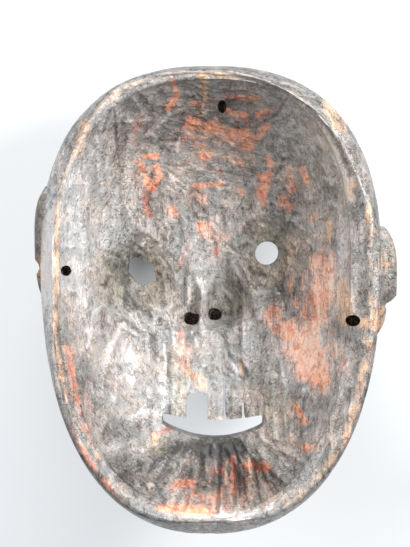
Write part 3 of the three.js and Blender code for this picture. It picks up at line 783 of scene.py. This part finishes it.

# Single lines: dark ones are painted shade in the creases, with a few cracks, and light ones are painted
# highlights on lit edges, with a few scratches
LINES_OF_WEAR_AND_PAINTED_LIGHT = [
    (-16.6, 14, -16.6, -5, 0.9, -1), (-15, 22, -16.4, 12, 0.8, -0.6), (-14, -6, -18, -13, 1.6, -0.9),
    (-13.8, 14, -14, -4, 0.7, 0.8), (-4, 8, -5, -14, 1.6, 0.4), (2, 10, 1.6, -1, 0.9, -0.8),
    (-1, 2, -0.6, -8, 1, -1), (6, -9, 12, -11, 1.4, -0.8), (17, 12, 19, -4, 0.9, -0.6),
    (19, -4, 14, -14, 1, -0.8), (14, -14, 6, -19, 1, -0.5), (12, 26, 20, 8, 0.8, 0.8),
    (-26.6, -66, -26.4, -71, 1.4, -1), (-26.3, -15, -26, -40, 0.7, -0.3), (-24, -20, -24, -64, 0.8, 0.5),
    (18.5, 7, 18, -36, 0.8, -0.5), (1, -19, 8, -24, 0.9, -0.7), (-9, -20, -14, -30, 0.9, -0.6),
    (8, -24, 12, -38, 0.8, -0.6), (-14, -36, -12, -52, 0.8, -0.5), (10, -44, 20, -50, 1, -0.9),
    (18, -36, 22, -48, 0.9, -0.6), (-2, -46, 2, -56, 0.8, -0.4), (-58, 112, -57, 80, 0.8, -0.9),
    (-52, 107, -38, 108, 0.7, 0.9), (-33, 104, -26, 111, 0.7, 0.9), (-21, 90, -20, 98, 0.7, 1),
    (-18, 104, -13, 100, 0.7, 0.9), (-36, 100, -34, 98, 0.7, 0.7), (59, 115, 65, 104, 0.8, -0.9),
    (65, 104, 65, 97, 0.8, -0.7), (45, 120, 40, 112, 0.7, -0.8), (44, 85, 39, 75, 0.7, -0.9),
    (16, 104, 27, 104, 0.7, -0.7), (27, 104, 39, 111, 0.8, -0.9), (-66, 84, -62, 40, 1, -0.3),
    (-8, -92, -15, -112, 0.9, -0.8), (3, -92, 0, -116, 0.8, -0.8), (16, -93, 17, -118, 0.8, -0.8),
    (27, -92, 33, -110, 0.8, -0.7), (-22, -92, -32, -108, 0.9, -0.7), (38, -88, 50, -102, 0.8, -0.6),
    (10, -94, 8, -112, 0.8, 0.7), (22, -92, 23, -108, 0.8, 0.7), (-30, -88, -40, -100, 0.8, 0.5),
    (-53, 26, -40, 27, 1, -0.5), (-60, 20, -66, 6, 1, -0.6), (-34, 4, -28, 14, 1, -0.6),
    (-44, -6, -36, -12, 1, -0.7), (-52, 3, -46, -6, 1, -0.5), (44, 42, 26, 40, 1, -0.6),
    (26, 16, 34, 14, 1.2, -0.9), (22, 24, 26, 16, 1, -0.7), (46, 30, 46, 20, 0.9, -0.5),
    (73, 88, 80, 74, 2.4, 1.6), (80, 74, 84, 60, 2.8, 1.8), (84, 60, 90, 50, 2.4, 1.6),
    (90, 50, 93, 38, 1.8, 1.4), (91, 36, 93, 18, 2.4, 1.6), (63, 96, 72, 88, 1.6, 0.9),
]

# Round the rim, from +x by the crown, each 30 degrees: how much bare tan wood there is and where across
# the rim, how light the crest is, partly worn wood and partly painted highlight, the painted highlight or
# shade just inside and outside it, and how dark the flank is
RIM_TAN = [0.35, 0.2, 0.25, 0.3, 0.6, 0.5, 1.2, 0.7, 0.4, 0.1, 0.6, 0.6]
RIM_TAN_AT = [0.75, 0.75, 0.75, 0.75, 0.6, 0.45, 0.25, 0.5, 0.25, 0.3, 0.75, 0.75]
RIM_CREST_PAINTED_LIGHT = [-0.4, -0.6, -0.3, 0.7, 0.8, 0.9, 0.6, -0.9, -0.2, 0.6, 0.1, -0.6]
RIM_INSIDE_PAINTED_LIGHT = [0.6, 0.5, 0.3, 0.4, 0.2, 0.5, 0.4, -0.8, -0.8, 0.5, 0.4, 0.4]
RIM_OUTSIDE_PAINTED_LIGHT = [-0.5, -0.4, 0, 0.2, 0.4, 1.4, 3.4, 1.6, 0.2, 1.6, 0, -0.4]
RIM_DARK = [0.5, 0.6, 0.7, 1, 0.8, 0.6, 0, 0.45, 0.9, 0.7, 0.8, 0.6]
RIM_PAINT = {"angle": -2.1, "half_angle": 0.3, "left": 0.7}
OFF_SHELL = 1.5


def stand_up(points):
    """Places in the scene back to the mask's frame, in millimetres."""
    x, y, z = (points / MM - REST).T
    return x, y * math.cos(TILT) - z * math.sin(TILT), y * math.sin(TILT) + z * math.cos(TILT)


def streaked(x, y, streaks):
    """How much of a finish is left at each place, from its streaks."""
    amount = np.zeros_like(x)
    for start_x, start_y, end_x, end_y, half_width, strength in streaks:
        run_x, run_y = end_x - start_x, end_y - start_y
        t = ((x - start_x) * run_x + (y - start_y) * run_y) / max(run_x**2 + run_y**2, 0.01)
        t = np.clip(t, 0, 1)
        off = np.hypot(x - start_x - t * run_x, y - start_y - t * run_y) / half_width
        amount = np.maximum(amount, strength * smooth(1.9, 0.2, off))
    return amount


def stained(x, y, spots):
    """How much of a finish there is at each place, from its spots."""
    amount = np.zeros_like(x)
    for at_x, at_y, half_width, half_height, strength in spots:
        spot = strength * smooth(1.5, 0.1, oval(x, y, at_x, at_y, half_width, half_height))
        amount = np.maximum(amount, spot)
    return amount


def read(mesh, name):
    values = np.empty(len(mesh.vertices), np.float32)
    mesh.attributes[name].data.foreach_get("value", values)
    return values


x, y, z = stand_up(places_of(finished))
skin = read(finished, "skin")
inside = smooth(0.5, 0.05, skin)
angle = np.arctan2(y - WIDEST_Y, x)
on_rim = skin < EAR_SKIN
outer = smooth(0.4, 0.65, skin) * smooth(1, 0.9, skin) * on_rim
on_crest = smooth(0.05, 0.3, skin) * smooth(0.8, 0.6, skin)
flank = smooth(0.84, 0.98, skin) * on_rim
behind = smooth(-20, -40, z) * flank
tan_band = mound((skin - around(angle, RIM_TAN_AT)) / 0.32) ** 0.7 * smooth(0.02, 0.12, skin)
tan_band = tan_band * on_rim * (1 - behind)
paint = np.maximum(streaked(x, y, PAINT), stained(x, y, PAINT_TRACES))
painted_rim = mound((angle - RIM_PAINT["angle"]) / RIM_PAINT["half_angle"])
paint = np.maximum(paint * inside, RIM_PAINT["left"] * outer * painted_rim)
tan = np.maximum(streaked(x, y, TAN) * (z > -60), tan_band * around(angle, RIM_TAN))
# Painted highlights and sheen: the pale spots inside, and the crest with the bands just inside and outside
# it round the rim
pale = stained(x, y, PALE_AND_SHEEN) * inside + on_crest * around(angle, RIM_CREST_PAINTED_LIGHT)
outward = smooth(0.6, 0.8, skin) * on_rim
pale = pale + outward * around(angle, RIM_OUTSIDE_PAINTED_LIGHT)
by_rim = smooth(0.86, 0.97, share_at(x, y) / inner_share(angle)) * smooth(0.6, 0.2, skin) * on_rim
pale = pale + by_rim * around(angle, RIM_INSIDE_PAINTED_LIGHT)
olive = np.maximum(stained(x, y, OLIVE) * inside, 0.5 * (skin > OFF_SHELL))
smoke = np.maximum(stained(x, y, SMOKE) * inside, flank * around(angle, RIM_DARK))
smoke = np.maximum(smoke, 0.6 * behind)
give(finished, "stains_and_sheen", "FLOAT_COLOR", np.stack([paint, tan, pale, olive], -1))
give(finished, "smoke", "FLOAT", smoke)
give(finished, "calm", "FLOAT", np.maximum(stained(x, y, CALM) * inside, 0.6 * on_crest))
give(finished, "deep", "FLOAT", streaked(x, y, DEEP) * inside)
# Painted crease shade and edge highlights, with the cracks and scratches, as one signed value
darker = streaked(x, y, [(*line[:5], -line[5]) for line in LINES_OF_WEAR_AND_PAINTED_LIGHT if line[5] < 0])
lighter = streaked(x, y, [line for line in LINES_OF_WEAR_AND_PAINTED_LIGHT if line[5] > 0])
give(finished, "wear_and_painted_light_lines", "FLOAT", (lighter - darker) * inside)

wood.use_nodes = True
tree = wood.node_tree
shader = tree.nodes["Principled BSDF"]


def node(kind, sockets=(), **settings):
    """A node of the material in work. Each socket takes a value or another node's output."""
    made = tree.nodes.new("ShaderNode" + kind)
    for name, value in settings.items():
        setattr(made, name, value)
    for socket, value in dict(sockets).items():
        if isinstance(value, bpy.types.NodeSocket):
            tree.links.new(value, made.inputs[socket])
        else:
            made.inputs[socket].default_value = value
    return made


def maths(operation, *values, clamp=False):
    return node("Math", enumerate(values), operation=operation, use_clamp=clamp).outputs[0]


def ramp(value, low, high):
    """0 below the low value and 1 above the high one, with an easy start and end."""
    limits = {"Value": value, "From Min": low, "From Max": high}
    return node("MapRange", limits, interpolation_type="SMOOTHSTEP").outputs["Result"]


def blend(amount, below, above):
    return node("Mix", {0: amount, 6: below, 7: above}, data_type="RGBA").outputs[2]


def noise(vector, scale, detail=4, roughness=0.6):
    sockets = {"Vector": vector, "Scale": scale, "Detail": detail, "Roughness": roughness}
    return node("TexNoise", sockets).outputs["Fac"]


def attribute(name, output="Fac"):
    return node("Attribute", attribute_name=name).outputs[output]


def colour(red, green, blue):
    return (red, green, blue, 1)


# Each finish runs from dark to light with the same pattern: how far along it, and the colour there
SMOKED = [
    (0, (0.012, 0.011, 0.01)), (0.2, (0.06, 0.057, 0.053)), (0.45, (0.2, 0.196, 0.187)),
    (0.7, (0.375, 0.371, 0.367)), (1, (0.72, 0.72, 0.725)),
]
RED = [
    (0, (0.06, 0.016, 0.01)), (0.25, (0.3, 0.085, 0.045)), (0.5, (0.66, 0.245, 0.14)),
    (0.75, (0.88, 0.44, 0.29)), (1, (0.94, 0.66, 0.54)),
]
BARE = [
    (0, (0.14, 0.08, 0.05)), (0.25, (0.4, 0.25, 0.16)), (0.5, (0.66, 0.45, 0.31)),
    (0.75, (0.84, 0.62, 0.46)), (1, (0.92, 0.76, 0.62)),
]
SCRAPED, DIRT, DRY = (0.93, 0.89, 0.76), (0.95, 0.8, 0.72), (1.1, 0.97, 0.84)
OLD_RED = (1.25, 0.62, 0.52)
WARM, COOL = (1.04, 0.98, 0.96), (0.98, 1, 1.01)

lift = [-REST[0], -REST[1] * math.cos(TILT) + REST[2] * math.sin(TILT)]
lift.append(-REST[1] * math.sin(TILT) - REST[2] * math.cos(TILT))
coordinates = node("TexCoord").outputs["Object"]
to_mask = {"Vector": coordinates, "Location": lift, "Rotation": (TILT, 0, 0), "Scale": (1 / MM,) * 3}
place = node("Mapping", to_mask).outputs[0]
height = node("SeparateXYZ", {0: place}).outputs[1]
# The pale share holds handled pale wood together with painted sheen and highlights
paint_left, tan_left, pale_and_sheen_left = node("SeparateColor", {0: attribute("stains_and_sheen", "Color")}).outputs
olive_left = attribute("stains_and_sheen", "Alpha")
smoke_left = attribute("smoke")
deep_left = attribute("deep")


def centred(value, amount):
    """A pattern from 0 to 1 as a change about nothing."""
    return maths("MULTIPLY", maths("SUBTRACT", value, 0.5), amount)


def total(*values):
    result = values[0]
    for value in values[1:]:
        result = maths("ADD", result, value)
    return result


def shades(light, stops):
    made = node("ValToRGB", {0: light})
    for position, _ in stops[1:-1]:
        made.color_ramp.elements.new(position)
    for stop, (position, shade) in zip(made.color_ramp.elements, stops):
        stop.position, stop.color = position, colour(*shade)
    return made.outputs[0]


def tinted(amount, below, tint):
    sockets = {0: amount, 6: below, 7: colour(*tint)}
    return node("Mix", sockets, data_type="RGBA", blend_type="MULTIPLY", clamp_result=True).outputs[2]


def drawn(heading, length, width):
    """The places for a pattern this long and wide, in millimetres, along a heading in degrees."""
    sockets = {"Vector": place, "Rotation": (0, 0, math.radians(heading)), "Scale": (length, width, width)}
    return node("Mapping", sockets, vector_type="TEXTURE").outputs[0]


# Scratches run at a few headings. Each is a line where a noise, drawn out along its heading, passes
# through its middle value, and is broken up by a wider noise.
def hairs(headings, length, width, fineness):
    most = 0
    for heading in headings:
        cloud = noise(drawn(heading, length, width), 1, 1, 0.5)
        off = maths("ABSOLUTE", maths("SUBTRACT", cloud, 0.5))
        worn = noise(drawn(heading + 45, 6, 4), 1, 2, 0.5)
        line = maths("MULTIPLY", ramp(off, fineness, 0), ramp(worn, 0.5, 0.6))
        most = maths("MAXIMUM", most, line)
    return most


scratches = hairs((-18, 28, 75, 140), 15, 2.4, 0.05)
cuts = hairs((5, 55, 84, 120), 16, 2.8, 0.05)
upright = noise(drawn(90, 18, 1.5), 1, 4, 0.6)
brushed = noise(drawn(-14, 10, 1.6), 1, 4, 0.6)
fibre = node("Mix", {0: ramp(height, 52, 78), 2: upright, 3: brushed}).outputs[0]
blotch = noise(place, 0.045, 4, 0.55)
speck = noise(place, 0.9, 3, 0.6)
fleck = noise(drawn(80, 9, 6.5), 1, 4, 0.6)
rubbed = ramp(fleck, 0.4, 0.6)

marks = total(centred(fibre, 0.26), centred(speck, 0.2), centred(fleck, 0.22))
small = ramp(attribute("calm"), 1.4, 0)
# The lightness takes in the lines' painted crease shade and edge highlights and the painted sheen of the
# pale share
light = total(
    0.49,
    maths("MULTIPLY", pale_and_sheen_left, 0.2),
    maths("MULTIPLY", smoke_left, -0.22),
    maths("MULTIPLY", attribute("wear_and_painted_light_lines"), 0.28),
    centred(attribute("tone"), 0.22),
    centred(blotch, 0.45),
    maths("MULTIPLY", marks, small),
    maths("MULTIPLY", scratches, 0.16),
    maths("MULTIPLY", cuts, -0.2),
    maths("MULTIPLY", maths("MULTIPLY", attribute("ridge"), rubbed), 0.15),
)
hue = blend(ramp(total(blotch, centred(speck, 0.25)), 0.36, 0.64), colour(*COOL), colour(*WARM))
base_colour = shades(light, SMOKED)
base_colour = node("Mix", {0: 1, 6: base_colour, 7: hue}, data_type="RGBA", blend_type="MULTIPLY").outputs[2]
broken = total(
    centred(fleck, 2.2), centred(fibre, 2.6), centred(speck, 1.2), maths("MULTIPLY", scratches, -0.4),
)


def layer(below, left, above, edge, most):
    """A finish over another where enough of it is left, with a broken edge."""
    amount = ramp(maths("ADD", left, broken), 0.5 - edge, 0.5 + edge)
    thin = maths("MULTIPLY", amount, ramp(left, -0.3, most))
    return blend(maths("MULTIPLY", thin, ramp(left, 0.02, 0.3)), below, above)


base_colour = tinted(ramp(olive_left, 0, 1), base_colour, SCRAPED)
base_colour = layer(base_colour, deep_left, tinted(1, base_colour, OLD_RED), 0.3, 0.5)
base_colour = layer(base_colour, paint_left, shades(total(light, 0.05), RED), 0.4, 1)
base_colour = layer(base_colour, tan_left, shades(total(light, -0.14), BARE), 0.3, 0.7)
base_colour = tinted(maths("MULTIPLY", cuts, 0.8), base_colour, DIRT)
base_colour = tinted(maths("MULTIPLY", scratches, ramp(blotch, 0.4, 0.55)), base_colour, DRY)
tree.links.new(base_colour, shader.inputs["Base Color"])

rough = total(
    0.38, centred(fleck, 0.4), maths("MULTIPLY", olive_left, 0.2), maths("MULTIPLY", pale_and_sheen_left, -0.12),
)
tree.links.new(rough, shader.inputs["Roughness"])
shader.inputs["Specular IOR Level"].default_value = 0.6
shader.inputs["Coat Weight"].default_value = 0.12
shader.inputs["Coat Roughness"].default_value = 0.3

relief = total(
    maths("MULTIPLY", fibre, 0.6), maths("MULTIPLY", speck, 0.25), maths("MULTIPLY", fleck, 0.3),
    maths("MULTIPLY", scratches, -0.2), maths("MULTIPLY", cuts, -0.4),
)
bump = node("Bump", {"Strength": 0.8, "Distance": 0.6 * MM, "Height": maths("MULTIPLY", relief, small)})
tree.links.new(bump.outputs[0], shader.inputs["Normal"])

# The walls of the bores and pits carry painted shade: they are near black with a faint mottle, so the
# holes read dark, and they are dull
bore_painted_shade.use_nodes = True
tree = bore_painted_shade.node_tree
shader = tree.nodes["Principled BSDF"]
bore_mottle = noise(node("TexCoord").outputs["Object"], 700)
bore_shade_colour = blend(ramp(bore_mottle, 0.4, 0.7), colour(0.02, 0.016, 0.013), colour(0.2, 0.14, 0.11))
tree.links.new(bore_shade_colour, shader.inputs["Base Color"])
tree.links.new(total(0.8, centred(bore_mottle, 0.3)), shader.inputs["Roughness"])
shader.inputs["Specular IOR Level"].default_value = 0
bore_mottle_bump = node("Bump", {"Strength": 0.5, "Distance": 0.3 * MM, "Height": bore_mottle})
tree.links.new(bore_mottle_bump.outputs[0], shader.inputs["Normal"])

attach(carving, "root")
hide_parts("mask")

# The floor is a plain pale sheet, 6 metres across. Light comes through it a little, as through a lit
# table. Painted shadows cut its glow under the left eye, the nostrils and the mouth and towards the lower
# right: a place, and how far from it in millimetres the light starts and is full.
FLOOR_SIZE = 6
FLOOR_PAINTED_SHADOWS = [(-46, 12, -10, 46), (-5, -28, 22, 40), (6, -80, -50, 36), (125, -140, -260, 140)]
floor_block = bmesh.new()
bmesh.ops.create_grid(floor_block, x_segments=1, y_segments=1, size=FLOOR_SIZE / 2)
floor = bpy.data.objects.new("floor", mesh_of(floor_block, "floor"))
bpy.context.collection.objects.link(floor)
paper = bpy.data.materials.new("pale_floor")
paper.use_nodes = True
tree = paper.node_tree
sheet = tree.nodes["Principled BSDF"]
sheet.inputs["Base Color"].default_value = (0.32, 0.325, 0.33, 1)
sheet.inputs["Roughness"].default_value = 0.8
glow = 0.62
# Each spot is a painted shadow in the floor's glow
for at_x, at_y, dark_to, light_from in FLOOR_PAINTED_SHADOWS:
    sockets = {0: node("TexCoord").outputs["Object"], 1: (at_x * MM, at_y * MM, 0)}
    away = node("VectorMath", sockets, operation="DISTANCE").outputs["Value"]
    glow = maths("MULTIPLY", glow, ramp(away, dark_to * MM, light_from * MM))
tree.links.new(glow, sheet.inputs["Emission Strength"])
sheet.inputs["Emission Color"].default_value = (0.94, 0.97, 1, 1)
floor.data.materials.append(paper)

# Three soft lights, from the right, the crown and above, with places and sizes in metres, and a pale
# room all round
LIGHTS = {
    "right": {"place": (1.0, 0.55, 0.75), "size": 0.4, "watts": 28},
    "crown": {"place": (-0.1, 1.3, 0.75), "size": 0.6, "watts": 17},
    "above": {"place": (-0.3, 0.3, 1.9), "size": 0.9, "watts": 9},
}
MASK_MIDDLE = np.array([0, 0, 0.06])
for name, lit in LIGHTS.items():
    lamp_data = bpy.data.lights.new(name, "AREA")
    lamp_data.size = lit["size"]
    lamp_data.energy = lit["watts"]
    lamp = bpy.data.objects.new(name, lamp_data)
    lamp.location = lit["place"]
    back = np.array(lit["place"]) - MASK_MIDDLE
    flat = math.hypot(back[0], back[1])
    lamp.rotation_euler = (math.atan2(flat, back[2]), 0, math.atan2(back[0], -back[1]))
    bpy.context.collection.objects.link(lamp)

room = bpy.data.worlds.new("room")
room.use_nodes = True
sky = room.node_tree.nodes["Background"]
sky.inputs["Color"].default_value = (0.9, 0.94, 1, 1)
sky.inputs["Strength"].default_value = 0.27
bpy.context.scene.world = room
